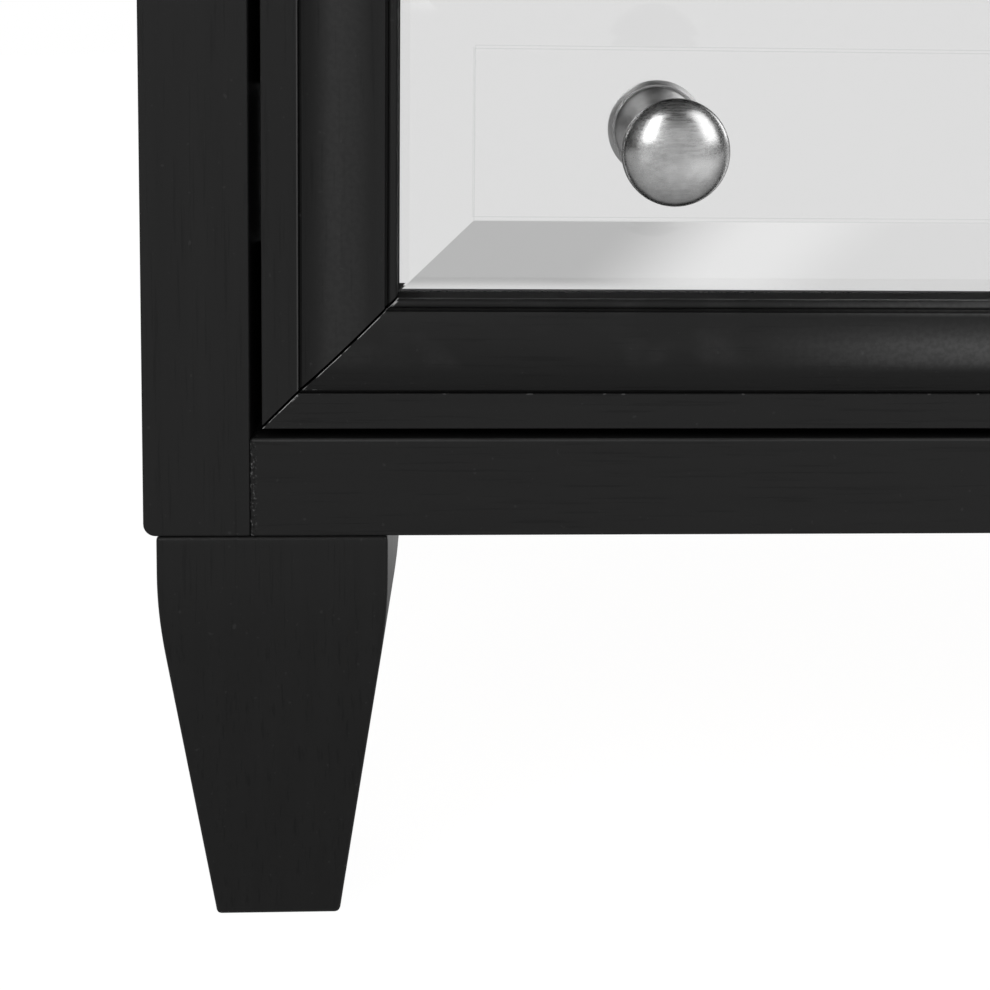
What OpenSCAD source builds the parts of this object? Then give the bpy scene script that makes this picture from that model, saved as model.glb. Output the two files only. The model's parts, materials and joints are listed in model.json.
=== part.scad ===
// Showcase cabinet: a black painted case on tapered legs, with a mirror-fronted
// drawer below and a glazed door over three glass shelves above.
// X runs to the right, Y to the back and Z up. Millimetres.

/* [Case] */
// Width over the corner posts
case_w = 560; // [480:10:800]
// Depth from the front to the back of the corner posts
case_d = 374; // [350:2:460]
// Height of the glazed door
door_h = 1080; // [800:10:1300]
// Width of a corner post, seen from the front
post_w = 29.2; // [26:0.2:36]
// Depth of a corner post, seen from the side
post_d = 44; // [42:1:52]
// Radius at the foot of a post, on its outer side
post_foot_r = 3.4; // [1:0.2:6]
// Thickness of the front and back rails
rail_t = 29; // [22:1:34]
// Height of the rails at the base
base_rail_h = 27.5; // [22:0.5:40]
// Height of the rails between drawer and door
mid_rail_h = 27.5; // [22:0.5:40]
// Height of the rails under the top
top_rail_h = 40; // [30:1:60]
// Thickness of the back panel
back_t = 6; // [4:0.5:9]

/* [Legs] */
// Height of a leg
leg_h = 115.5; // [90:0.5:160]
// Width and depth of a leg at its top
leg_top_w = 63.5; // [58:0.5:72]
// Width of a leg at its foot, seen from the front
leg_foot_w = 35; // [28:0.5:44]
// Depth of a leg at its foot, seen from the side
leg_foot_d = 44; // [36:0.5:52]
// Straight length under the case, before the leg curves in
leg_straight = 10.7; // [6:0.1:20]
// Radius of the curve from the straight top into the taper
leg_curve_r = 160; // [120:5:220]
// How far a leg stands in from the outer face of its post
leg_inset = 3.4; // [0:0.2:6]

/* [Drawer] */
// Height of the drawer front
drawer_h = 162; // [150:1:220]
// Length of the drawer slides
slide_l = 300; // [260:5:320]
// Thickness of a slide, from the case to the drawer
slide_t = 12.7; // [12.5:0.1:13]
// Height of the drawer box
box_h = 112; // [90:1:125]
// Thickness of the drawer box sides, front and back
box_t = 12; // [10:0.5:15]
// Thickness of the drawer bottom
box_bottom_t = 6; // [4:0.5:8]

/* [Fronts] */
// Gap between a front and the post beside it
gap_side = 3.3; // [3.1:0.1:4]
// Gap between a front and the rails above and below it
gap_rail = 2.8; // [2:0.1:4]
// Width of a moulding, from its outer edge to the glass
mould_w = 37; // [36:0.2:42]
// Width of the flat band along the outer edge
mould_flat = 9.8; // [7:0.1:11]
// Width of the groove beside the flat band
groove_w = 0.8; // [0.5:0.1:1.2]
// Depth of that groove
groove_deep = 1; // [0.5:0.1:2]
// Height of the cushion above the flat band
crown_h = 5; // [3:0.2:7]
// Distance from the outer edge to the top of the cushion
crown_at = 26; // [25:0.2:28]
// Width of the quirk between cushion and bead
quirk_w = 0.6; // [0.5:0.1:1.2]
// Width of the bead round the glass
bead_w = 2.8; // [2.4:0.1:4]
// Height of the bead above the flat band
bead_h = 3.2; // [2.5:0.1:4.5]
// Depth from the flat band down to the lip that holds the glass
lip_deep = 6.8; // [5:0.1:8]
// How far the glass pocket reaches under the moulding
pocket_w = 6; // [4:0.5:8]

/* [Glass] */
// Thickness of the bevelled glass and of the bevelled mirror
pane_t = 5; // [4:0.5:6]
// Width of the bevel, measured on the glass
bevel_w = 25.4; // [20:0.2:28]
// How much thinner the glass is at the end of the bevel
bevel_drop = 3.3; // [2:0.1:3.4]
// Thickness of the side glass
side_glass_t = 4; // [3:0.5:6]
// Thickness of the mirror on the back panel
back_mirror_t = 4; // [3:0.5:5]
// Thickness of a glass shelf
shelf_t = 6; // [5:0.5:8]
// Number of glass shelves
shelf_count = 3; // [2:1:4]

/* [Boards] */
// Thickness of the top
top_t = 22; // [18:1:30]
// How far the top stands out over the front and the sides
top_over = 12; // [8:1:24]
// Thickness of the deck that the lowest goods stand on
deck_t = 16; // [12:1:20]
// Thickness of the panel under the drawer
bottom_t = 6; // [4:0.5:9]
// Thickness of the panels beside the drawer
side_panel_t = 9; // [6:0.5:12]
// How far the side panels and side glass lie in from the outer face
side_set_in = 4; // [3:0.5:6]
// Section of the beads that hold the side glass
side_bead = 8; // [6:0.5:9]
// Thickness of the board behind the drawer's mirror, and of the beads behind the door's glass
backer_t = 12; // [9:0.5:14]

/* [Knobs] */
// Diameter of a knob
knob_d = 28.5; // [24:0.5:36]
// How far a knob stands out from the glass
knob_h = 31; // [27:0.5:36]
// Diameter of the neck of a knob
knob_neck_d = 11; // [9:0.5:14]
// Distance from the edge of the visible mirror to a drawer knob
drawer_knob_in = 73; // [60:1:90]
// How far the drawer knobs sit below the middle of the drawer
drawer_knob_drop = 1.4; // [0:0.2:8]
// Distance from the edge of the visible glass to the door knob
door_knob_in = 44; // [36:1:60]
// Diameter of the knob screws
knob_screw_d = 4; // [3:0.5:5]

/* [Hinges] */
// Length of a hinge
hinge_l = 64; // [50:1:80]
// Diameter of the hinge knuckles
knuckle_d = 8; // [7:0.2:9]
// Diameter of the hinge pins
hinge_pin_d = 3.4; // [3:0.1:4]
// Thickness of the hinge leaves
leaf_t = 1.4; // [1.2:0.1:1.5]
// Width of a hinge leaf inside the gap
leaf_w = 17; // [12:1:18]
// Distance from the ends of the door to the outer hinges
hinge_in = 110; // [80:5:200]

/* [Fasteners] */
// Diameter of the leg bolts
leg_bolt_d = 8; // [6:1:10]
// Depth of a leg bolt in its leg
leg_bolt_in = 40; // [30:1:60]
// Diameter of the shelf pins
shelf_pin_d = 5; // [4:0.5:6]
// Depth of a shelf pin in its post
shelf_pin_in = 9; // [6:0.5:12]
// How far a shelf pin stands out under its shelf
shelf_pin_out = 8; // [6:0.5:12]
// Diameter of the screws that hold the back panel
back_screw_d = 3.5; // [3:0.5:4.5]
// Depth of a back panel screw in its post
back_screw_in = 16; // [10:1:24]

/* [Hidden] */

$fn = 48;
over = 1;                 // how far a cutter runs past the face it opens
fit = 0.05;               // radial clearance of a pin or screw in its hole
hinge_fit = 0.03;         // radial clearance of a hinge pin in its knuckles
glass_fit = 1;            // clearance round a pane in its pocket
soft_gap = 0.3;           // clearance between pieces that slide or swing past each other
arris = 0.6;              // small round along the edges of the mouldings
mitre_gap = 0.1;          // open joint between mitred strips

half_w = case_w / 2;
in_w = case_w - 2 * post_w;          // opening between the posts
half_in = in_w / 2;
back_rail_y = case_d - rail_t;

// Heights, from the floor up
base_z = leg_h;
drawer_z = base_z + base_rail_h + gap_rail;
mid_z = drawer_z + drawer_h + gap_rail;
bay_z = mid_z + mid_rail_h;
door_z = bay_z + gap_rail;
top_rail_z = door_z + door_h + gap_rail;
case_top = top_rail_z + top_rail_h;
bay_h = top_rail_z - bay_z;
front_w = in_w - 2 * gap_side;       // width of the drawer front and of the door

// The glass and what backs it, measured back from the flat band
pane_edge = lip_deep + bevel_drop * (pocket_w - glass_fit) / bevel_w;
pane_face = pane_edge - bevel_drop;
pane_back = pane_face + pane_t;
front_t = pane_back + backer_t;      // thickness of a moulding

knob_front = knob_h - pane_face;
y_middle = (case_d + back_t - knob_front) / 2;

// Drawer box
box_half = half_in - slide_t;
box_z = drawer_z + 14;
box_front_y = front_t;
side_y = box_front_y + box_t;
slide_y = front_t + 5;
box_end = slide_y + slide_l;
drawer_knob_x = front_w / 2 - mould_w - drawer_knob_in;
drawer_knob_z = drawer_z + drawer_h / 2 - drawer_knob_drop;

// Door hinge
pin_x = half_in - gap_side / 2;
pin_y = -knuckle_d / 2 - soft_gap;
hinge_z = [door_z + hinge_in, door_z + (door_h - hinge_l) / 2, door_z + door_h - hinge_in - hinge_l];
door_knob_x = -front_w / 2 + mould_w + door_knob_in;
door_knob_z = door_z + door_h / 2;

paint = [0.13, 0.13, 0.13];
raw_wood = [0.72, 0.60, 0.44];
nickel = [0.62, 0.62, 0.62];
zinc = [0.70, 0.71, 0.73];
mirror_grey = [0.80, 0.81, 0.81];
glass_tint = [0.80, 0.90, 0.88, 0.4];

// Puts a piece that is drawn from the front of the posts into the part's own frame
module placed() { translate([0, -y_middle, 0]) children(); }

// A board between two corners
module board(low, high) { translate(low) cube(high - low); }

// A piece and its mirror image on the other side of the case
module both_sides() {
    children();
    mirror([1, 0, 0]) children();
}

// A round hole or shaft that starts at a point and runs along Y, X or Z
module rod_y(at, d, l) { translate(at) rotate([-90, 0, 0]) cylinder(d = d, h = l); }
module rod_x(at, d, l) { translate(at) rotate([0, 90, 0]) cylinder(d = d, h = l); }
module rod_z(at, d, l) { translate(at) cylinder(d = d, h = l); }

// Points of an arc about a centre, from one angle to another
function arc(c, r, from, to, n = 8) =
    [for (i = [0:n]) let (a = from + (to - from) * i / n) [c[0] + r * cos(a), c[1] + r * sin(a)]];

// ---- Legs ----

leg_fall = leg_h - leg_straight;

// Angle of the straight taper down to a foot, from the curve that leads into it
function taper_angle(foot) = let (inward = leg_curve_r - (leg_top_w - foot) / 2)
    atan2(leg_fall, inward) - acos(leg_curve_r / sqrt(pow(inward, 2) + pow(leg_fall, 2)));

// One half of the leg's outline, from a foot up, with its middle at 0
function leg_half(foot) = concat(
    [[foot / 2, 0]],
    arc([leg_top_w / 2 - leg_curve_r, leg_fall], leg_curve_r, -taper_angle(foot), 0),
    [[leg_top_w / 2, leg_h]]
);

module leg_outline(foot) {
    half = leg_half(foot);
    n = len(half) - 1;
    polygon(concat(half, [for (i = [n:-1:0]) [-half[i][0], half[i][1]]]));
}

leg_x = half_w - leg_inset - leg_top_w / 2;
leg_front_y = leg_top_w / 2;
leg_rear_y = case_d - leg_top_w / 2;
block_w = 46;                        // the corner blocks that the legs are bolted to
block_h = 18;
block_end = 12;                      // width of a block at the ends of its slanted face
bolt_head_w = 13;
bolt_head_h = 5.5;
bolt_x = half_in - block_w / 2;
bolt_in_y = 14;                      // from the back of the front rail to the bolt
bolt_front_y = rail_t + bolt_in_y;
bolt_rear_y = back_rail_y - bolt_in_y;

module leg(side, y, bolt_y) {
    color(paint) placed() difference() {
        translate([side * leg_x, y, 0]) intersection() {
            translate([0, leg_top_w / 2, 0]) rotate([90, 0, 0])
                linear_extrude(leg_top_w) leg_outline(leg_foot_w);
            rotate([0, 0, 90]) translate([0, leg_top_w / 2, 0]) rotate([90, 0, 0])
                linear_extrude(leg_top_w) leg_outline(leg_foot_d);
        }
        rod_z([side * bolt_x, bolt_y, leg_h - leg_bolt_in - over], leg_bolt_d + 2 * fit, leg_bolt_in + 2 * over);
    }
}
module leg_front_left() { leg(-1, leg_front_y, bolt_front_y); }
module leg_front_right() { leg(1, leg_front_y, bolt_front_y); }
module leg_rear_left() { leg(-1, leg_rear_y, bolt_rear_y); }
module leg_rear_right() { leg(1, leg_rear_y, bolt_rear_y); }

// ---- Posts ----

shelf_bottom = [for (i = [1:shelf_count]) bay_z + i * bay_h / (shelf_count + 1)];
shelf_front_y = front_t + 6;
shelf_back_y = case_d - back_mirror_t - glass_fit;
pin_front_y = shelf_front_y + 9;
pin_rear_y = shelf_back_y - 23;
back_screw_z = [for (i = [0:4]) base_z + 60 + i * (case_top - base_z - 120) / 4];
back_screw_x = half_w - post_w / 2;
back_screw_head = 2;                 // height of the countersunk heads

// A corner post on the right, with its holes; y is where it starts
module post_right(y, pin_y_at, screwed) {
    difference() {
        translate([0, y + post_d, 0]) rotate([90, 0, 0]) linear_extrude(post_d) polygon(concat(
            [[half_in, base_z]],
            arc([half_w - post_foot_r, base_z + post_foot_r], post_foot_r, -90, 0),
            [[half_w, case_top], [half_in, case_top]]
        ));
        for (z = shelf_bottom)
            rod_x([half_in - over, pin_y_at, z - shelf_pin_d / 2], shelf_pin_d + 2 * fit, shelf_pin_in + fit + over);
        if (screwed) for (z = back_screw_z)
            rod_y([back_screw_x, case_d - back_screw_in - fit, z], back_screw_d + 2 * fit, back_screw_in + fit + over);
    }
}
module post_front_right() { color(paint) placed() post_right(0, pin_front_y, false); }
module post_front_left() { color(paint) placed() mirror([1, 0, 0]) post_right(0, pin_front_y, false); }
module post_rear_right() { color(paint) placed() post_right(case_d - post_d, pin_rear_y, true); }
module post_rear_left() {
    color(paint) placed() mirror([1, 0, 0]) post_right(case_d - post_d, pin_rear_y, true);
}

// ---- Rails ----

rail_levels = [[base_z, base_rail_h], [mid_z, mid_rail_h], [top_rail_z, top_rail_h]];

module cross_rail(level, y) {
    board([-half_in, y, level[0]], [half_in, y + rail_t, level[0] + level[1]]);
}
module base_rail_front() { color(paint) placed() cross_rail(rail_levels[0], 0); }
module mid_rail_front() { color(paint) placed() cross_rail(rail_levels[1], 0); }
module top_rail_front() { color(paint) placed() cross_rail(rail_levels[2], 0); }
module back_rails() {
    color(paint) placed() for (level = rail_levels) cross_rail(level, back_rail_y);
}

// The three rails of the right side, between the posts
module side_rails() {
    for (level = rail_levels)
        board([half_in, post_d, level[0]], [half_w, case_d - post_d, level[0] + level[1]]);
}
module side_rails_right() { color(paint) placed() side_rails(); }
module side_rails_left() { color(paint) placed() mirror([1, 0, 0]) side_rails(); }

// ---- Panels ----

module side_panels() {
    color(paint) placed() both_sides() board(
        [half_w - side_set_in - side_panel_t, post_d, base_z + base_rail_h],
        [half_w - side_set_in, case_d - post_d, mid_z]
    );
}
module bottom_panel() {
    color(raw_wood) placed() board(
        [-half_in, rail_t, base_z + block_h],
        [half_in, back_rail_y, base_z + block_h + bottom_t]
    );
}
module deck_panel() {
    color(paint) placed() board([-half_in, rail_t, bay_z - deck_t], [half_in, back_rail_y, bay_z]);
}

// The top's edge: a round upper edge over a small cove-like step
top_round = 6;
top_step = 3;
function top_edge(x) = concat(
    [[x - top_step, case_top]],
    arc([x - top_step, case_top + top_step], top_step, -90, 0, 4),
    arc([x - top_round, case_top + top_t - top_round], top_round, 0, 90)
);
module top_panel() {
    side = half_w + top_over;
    front = top_over;
    depth = case_d + back_t;
    sides = top_edge(side);
    fronts = top_edge(front);
    n = len(sides) - 1;
    color(paint) placed() intersection() {
        translate([0, depth, 0]) rotate([90, 0, 0]) linear_extrude(depth + front)
            polygon(concat(sides, [for (i = [n:-1:0]) [-sides[i][0], sides[i][1]]]));
        rotate([90, 0, -90]) translate([0, 0, -side]) linear_extrude(2 * side)
            polygon(concat(fronts, [[-depth, case_top + top_t], [-depth, case_top]]));
    }
}

// A countersunk hole or head that ends flush with the back; play widens it
module countersink(at, play) {
    translate([at[0], case_d + back_t - back_screw_head, at[1]]) rotate([-90, 0, 0])
        cylinder(d1 = back_screw_d + 2 * play, d2 = 2 * back_screw_d + 2 * play, h = back_screw_head);
}
module back_panel() {
    color(paint) placed() difference() {
        board([-half_w, case_d, base_z], [half_w, case_d + back_t, case_top]);
        both_sides() for (z = back_screw_z) {
            rod_y([back_screw_x, case_d - over, z], back_screw_d + 2 * fit, back_t + 2 * over);
            countersink([back_screw_x, z], fit);
        }
    }
}
module back_screws() {
    color(zinc) placed() both_sides() for (z = back_screw_z) {
        rod_y([back_screw_x, case_d - back_screw_in, z], back_screw_d, back_screw_in + back_t - back_screw_head);
        countersink([back_screw_x, z], 0);
    }
}

// ---- Leg fixings ----

bolt_head_z = base_z + block_h - bolt_head_h;

module corner_blocks() {
    color(raw_wood) placed() both_sides() for (front = [true, false]) {
        near = front ? rail_t : back_rail_y;
        far = front ? rail_t + block_w : back_rail_y - block_w;
        bolt_y = front ? bolt_front_y : bolt_rear_y;
        difference() {
            translate([0, 0, base_z]) linear_extrude(block_h)
                polygon([[half_in, near], [half_in, far], [half_in - block_end, far],
                    [half_in - block_w, front ? near + block_end : near - block_end], [half_in - block_w, near]]);
            rod_z([bolt_x, bolt_y, base_z - over], leg_bolt_d + 2 * fit, block_h + 2 * over);
            rod_z([bolt_x, bolt_y, bolt_head_z], bolt_head_w + 2, bolt_head_h + over);
        }
    }
}
module leg_bolts() {
    color(zinc) placed() both_sides() for (y = [bolt_front_y, bolt_rear_y]) {
        rod_z([bolt_x, y, leg_h - leg_bolt_in], leg_bolt_d, leg_bolt_in + block_h - over);
        translate([bolt_x, y, bolt_head_z]) cylinder(d = bolt_head_w, h = bolt_head_h, $fn = 6);
    }
}

// ---- Display part ----

side_glass_x = half_w - side_set_in - side_bead - side_glass_t;
side_open_y = [post_d, case_d - post_d];

module side_glass() {
    board([side_glass_x, side_open_y[0] + glass_fit / 2, bay_z + glass_fit / 2],
        [side_glass_x + side_glass_t, side_open_y[1] - glass_fit / 2, top_rail_z - glass_fit / 2]);
}
module side_glass_right() { color(glass_tint) placed() side_glass(); }
module side_glass_left() { color(glass_tint) placed() mirror([1, 0, 0]) side_glass(); }

// Four mitred strips round the inside of an opening in the side, from x outwards by t.
// The upright strips stop a hair short, so that the joints stay open like cut ones.
module mitred_strips(y0, y1, z0, z1, w, x, t) {
    module strip(points) translate([x, 0, 0]) rotate([90, 0, 90]) linear_extrude(t) polygon(points);
    strip([[y0, z0], [y1, z0], [y1 - w, z0 + w], [y0 + w, z0 + w]]);
    strip([[y0, z1], [y0 + w, z1 - w], [y1 - w, z1 - w], [y1, z1]]);
    low = z0 + mitre_gap;
    high = z1 - mitre_gap;
    strip([[y0, low], [y0 + w, low + w], [y0 + w, high - w], [y0, high]]);
    strip([[y1, low], [y1, high], [y1 - w, high - w], [y1 - w, low + w]]);
}
module side_beads() {
    for (x = [side_glass_x - side_bead, side_glass_x + side_glass_t])
        mitred_strips(side_open_y[0], side_open_y[1], bay_z, top_rail_z, side_bead, x, side_bead);
}
module side_beads_right() { color(paint) placed() side_beads(); }
module side_beads_left() { color(paint) placed() mirror([1, 0, 0]) side_beads(); }

module back_mirror() {
    color(mirror_grey) placed() board(
        [-half_in + glass_fit, case_d - back_mirror_t, bay_z],
        [half_in - glass_fit, case_d, top_rail_z - glass_fit]
    );
}
module glass_shelves() {
    color(glass_tint) placed() for (z = shelf_bottom) board(
        [-half_in + glass_fit, shelf_front_y, z],
        [half_in - glass_fit, shelf_back_y, z + shelf_t]
    );
}
module shelf_pins() {
    color(nickel) placed() both_sides() for (z = shelf_bottom, y = [pin_front_y, pin_rear_y])
        rod_x([half_in - shelf_pin_out, y, z - shelf_pin_d / 2], shelf_pin_d, shelf_pin_out + shelf_pin_in);
}

// ---- Mouldings ----

// Section of a moulding: x from the outer edge to the glass, y outwards from the flat band
cushion_at = mould_flat + groove_w;
cushion_end = mould_w - bead_w - quirk_w;
cushion_rise = crown_h + 0.2;
cushion_r = (pow(crown_at - cushion_at, 2) + pow(cushion_rise, 2)) / (2 * cushion_rise);
cushion_low = asin((crown_at - cushion_at) / cushion_r);
cushion_high = asin((cushion_end - crown_at) / cushion_r);
bead_r = bead_w / 2;
pocket_at = mould_w - pocket_w;

function mould_section() = concat(
    [[0, -front_t]],
    arc([arris, -arris], arris, 180, 90, 3),
    arc([mould_flat - arris, -arris], arris, 90, 0, 3),
    [[mould_flat, -groove_deep], [cushion_at, -groove_deep]],
    arc([crown_at, crown_h - cushion_r], cushion_r, 90 + cushion_low, 90 - cushion_high, 18),
    [[cushion_end, bead_h - bead_r]],
    arc([mould_w - bead_r, bead_h - bead_r], bead_r, 180, 0, 8),
    [[mould_w, -lip_deep], [pocket_at, -lip_deep], [pocket_at, -front_t]]
);

// One moulding of a length, lying along X with its outer edge down, mitred at both ends
module moulding(length) {
    intersection() {
        rotate([180, -90, 0]) linear_extrude(length) polygon(mould_section());
        translate([0, front_t + over, 0]) rotate([90, 0, 0]) linear_extrude(front_t + crown_h + 2 * over)
            polygon([[0, 0], [length, 0], [length - mould_w, mould_w], [mould_w, mould_w]]);
    }
}
// The four places of a moulding round a front whose lower left corner is at x, z
module mould_bottom(x, z, w) { translate([x, 0, z]) moulding(w); }
module mould_top(x, z, w, h) { translate([x, 0, z + h]) mirror([0, 0, 1]) moulding(w); }
module mould_left(x, z, h) { translate([x, 0, z]) mirror([1, 0, 0]) rotate([0, -90, 0]) moulding(h); }
module mould_right(x, z, w, h) { translate([x + w, 0, z]) rotate([0, -90, 0]) moulding(h); }

// A bevelled pane in the pocket of a front: both directions are bevelled, then crossed
module bevelled_pane(x, z, w, h) {
    inset = pocket_at + glass_fit;
    module section(l) polygon([[0, pane_back], [0, pane_edge], [bevel_w, pane_face],
        [l - bevel_w, pane_face], [l, pane_edge], [l, pane_back]]);
    pane_w = w - 2 * inset;
    pane_h = h - 2 * inset;
    translate([x + inset, 0, z + inset]) intersection() {
        linear_extrude(pane_h) section(pane_w);
        translate([0, 0, pane_h]) rotate([0, 90, 0]) linear_extrude(pane_w) section(pane_h);
    }
}

// ---- Drawer ----

front_x = -front_w / 2;
drawer_knob_xs = [-drawer_knob_x, drawer_knob_x];
screw_hole = knob_screw_d + 2 * fit;

module drawer_mould_bottom() { color(paint) placed() mould_bottom(front_x, drawer_z, front_w); }
module drawer_mould_top() { color(paint) placed() mould_top(front_x, drawer_z, front_w, drawer_h); }
module drawer_mould_left() { color(paint) placed() mould_left(front_x, drawer_z, drawer_h); }
module drawer_mould_right() { color(paint) placed() mould_right(front_x, drawer_z, front_w, drawer_h); }

module drawer_mirror() {
    color(mirror_grey) placed() difference() {
        bevelled_pane(front_x, drawer_z, front_w, drawer_h);
        for (x = drawer_knob_xs) rod_y([x, 0, drawer_knob_z], screw_hole, pane_back + over);
    }
}
module mirror_backer() {
    color(raw_wood) placed() difference() {
        board([front_x + pocket_at, pane_back, drawer_z + pocket_at],
            [-front_x - pocket_at, front_t, drawer_z + drawer_h - pocket_at]);
        for (x = drawer_knob_xs) rod_y([x, pane_back - over, drawer_knob_z], screw_hole, backer_t + 2 * over);
    }
}
module drawer_box_front() {
    color(raw_wood) placed() difference() {
        board([-box_half, box_front_y, box_z], [box_half, side_y, box_z + box_h]);
        for (x = drawer_knob_xs) rod_y([x, box_front_y - over, drawer_knob_z], screw_hole, box_t + 2 * over);
        bottom_groove();
    }
}

// The groove round the inside of the drawer box that holds its bottom
groove_in = 5;
groove_up = 8;
module bottom_groove() {
    board([-box_half + box_t - groove_in, side_y - groove_in, box_z + groove_up],
        [box_half - box_t + groove_in, box_end - box_t + groove_in, box_z + groove_up + box_bottom_t]);
}
module drawer_sides() {
    color(raw_wood) placed() both_sides() difference() {
        board([box_half - box_t, side_y, box_z], [box_half, box_end, box_z + box_h]);
        bottom_groove();
    }
}
module drawer_box_back() {
    color(raw_wood) placed() difference() {
        board([-box_half + box_t, box_end - box_t, box_z], [box_half - box_t, box_end, box_z + box_h]);
        bottom_groove();
    }
}
module drawer_bottom() { color(raw_wood) placed() bottom_groove(); }

// A knob standing on the glass and pointing forward, with a blind hole for its screw
knob_foot_d = 15;
knob_foot_h = 1.6;
knob_neck_h = 9.5;
knob_flare = 3;
knob_rim_r = 2.2;
knob_dome = 5.2;
knob_hole_deep = 14;
module knob(at) {
    r = knob_d / 2;
    rim_h = knob_h - knob_dome - knob_rim_r;
    dome_r = (pow(r - knob_rim_r, 2) + pow(knob_dome, 2)) / (2 * knob_dome);
    dome_a = asin((r - knob_rim_r) / dome_r);
    translate([at[0], pane_face, at[1]]) rotate([90, 0, 0]) difference() {
        rotate_extrude() polygon(concat(
            [[0, 0], [knob_foot_d / 2, 0], [knob_foot_d / 2, knob_foot_h], [knob_neck_d / 2, knob_foot_h + 2],
                [knob_neck_d / 2, knob_neck_h], [knob_neck_d / 2 + 1, knob_neck_h + knob_flare]],
            arc([r - knob_rim_r, rim_h], knob_rim_r, -40, 90, 6),
            arc([0, knob_h - dome_r], dome_r, 90 - dome_a * 0.8, 90, 6)
        ));
        translate([0, 0, -over]) cylinder(d = screw_hole, h = knob_hole_deep + over);
    }
}
module drawer_knobs() { color(nickel) placed() for (x = drawer_knob_xs) knob([x, drawer_knob_z]); }

// A screw that starts in a knob and has its head behind a board
knob_screw_in = 12;
knob_screw_head = 3;
module knob_screw(at, back_y) {
    rod_y([at[0], pane_face - knob_screw_in, at[1]], knob_screw_d, back_y - pane_face + knob_screw_in + over);
    rod_y([at[0], back_y, at[1]], 2 * knob_screw_d, knob_screw_head);
}
module drawer_knob_screws() {
    color(zinc) placed() for (x = drawer_knob_xs) knob_screw([x, drawer_knob_z], side_y);
}

// ---- Slides ----

slide_z = box_z + box_h / 2;
slide_h = 45;
slide_wall = 1.2;
slide_nest = slide_wall + soft_gap;      // step from one member to the next inside it

// A channel of three walls: x0 is its open side, x1 the outer face of its web
module channel(x0, x1, h) {
    s = x1 > x0 ? -1 : 1;
    web = x1 + s * slide_wall;
    polygon([[x0, h / 2], [x1, h / 2], [x1, -h / 2], [x0, -h / 2], [x0, -h / 2 + slide_wall],
        [web, -h / 2 + slide_wall], [web, h / 2 - slide_wall], [x0, h / 2 - slide_wall]]);
}
// Runs a section in X and Z along the slide
module along_slide() {
    translate([0, slide_y + slide_l, slide_z]) rotate([90, 0, 0]) linear_extrude(slide_l) children();
}
slide_mid_x = half_in - slide_t / 2;
module case_member() { along_slide() channel(slide_mid_x + soft_gap, half_in, slide_h); }
module drawer_member() {
    along_slide() channel(slide_mid_x - slide_wall, box_half, slide_h - 4 * slide_nest);
}
module middle_member() {
    h = slide_h - 2 * slide_nest;
    along_slide() {
        translate([slide_mid_x - slide_wall + soft_gap, -h / 2]) square([slide_wall, h]);
        for (z = [-h / 2, h / 2 - slide_wall])
            translate([box_half + slide_nest + soft_gap, z])
                square([slide_t - 2 * (slide_nest + soft_gap), slide_wall]);
    }
}
module slide_case_members() { color(zinc) placed() both_sides() case_member(); }
module slide_drawer_members() { color(zinc) placed() both_sides() drawer_member(); }
module slide_middle_right() { color(zinc) placed() middle_member(); }
module slide_middle_left() { color(zinc) placed() mirror([1, 0, 0]) middle_member(); }

// Boards beside the drawer that bring the slides flush with the posts
runner_h = 60;
module runner_boards() {
    color(raw_wood) placed() both_sides() board(
        [half_in, post_d, slide_z - runner_h / 2],
        [half_w - side_set_in - side_panel_t, case_d - post_d, slide_z + runner_h / 2]
    );
}

// ---- Door ----

module door_mould_bottom() { color(paint) placed() mould_bottom(front_x, door_z, front_w); }
module door_mould_top() { color(paint) placed() mould_top(front_x, door_z, front_w, door_h); }
module door_mould_left() { color(paint) placed() mould_left(front_x, door_z, door_h); }
module door_mould_right() { color(paint) placed() mould_right(front_x, door_z, front_w, door_h); }

module door_glass() {
    color(glass_tint) placed() difference() {
        bevelled_pane(front_x, door_z, front_w, door_h);
        rod_y([door_knob_x, 0, door_knob_z], screw_hole, pane_back + over);
    }
}
// Beads behind the glass, mitred like the mouldings
module door_beads() {
    x0 = front_x + pocket_at;
    z0 = door_z + pocket_at;
    color(paint) placed() rotate([0, 0, -90])
        mitred_strips(x0, -x0, z0, door_z + door_h - pocket_at, pocket_w, -front_t, backer_t);
}
module door_knob() { color(nickel) placed() knob([door_knob_x, door_knob_z]); }
module door_knob_screw() { color(zinc) placed() knob_screw([door_knob_x, door_knob_z], pane_back); }

// A magnet under the top rail, with its plate on the back of the door
catch_w = 46;
catch_d = 14;
catch_h = 14;
plate_t = 1.2;
catch_x = front_x + pocket_at / 2;
module magnetic_catch() {
    y = front_t + plate_t + soft_gap;
    color([0.85, 0.85, 0.83]) placed()
        board([catch_x, y, top_rail_z - catch_h], [catch_x + catch_w, y + catch_d, top_rail_z]);
}
module strike_plate() {
    color(zinc) placed() board(
        [catch_x + catch_w / 4, front_t, top_rail_z - catch_h],
        [catch_x + catch_w * 3 / 4, front_t + plate_t, top_rail_z - gap_rail - 1]
    );
}

// ---- Hinges ----

knuckle_l = hinge_l / 5;
knuckle_gap = 0.2;
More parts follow.
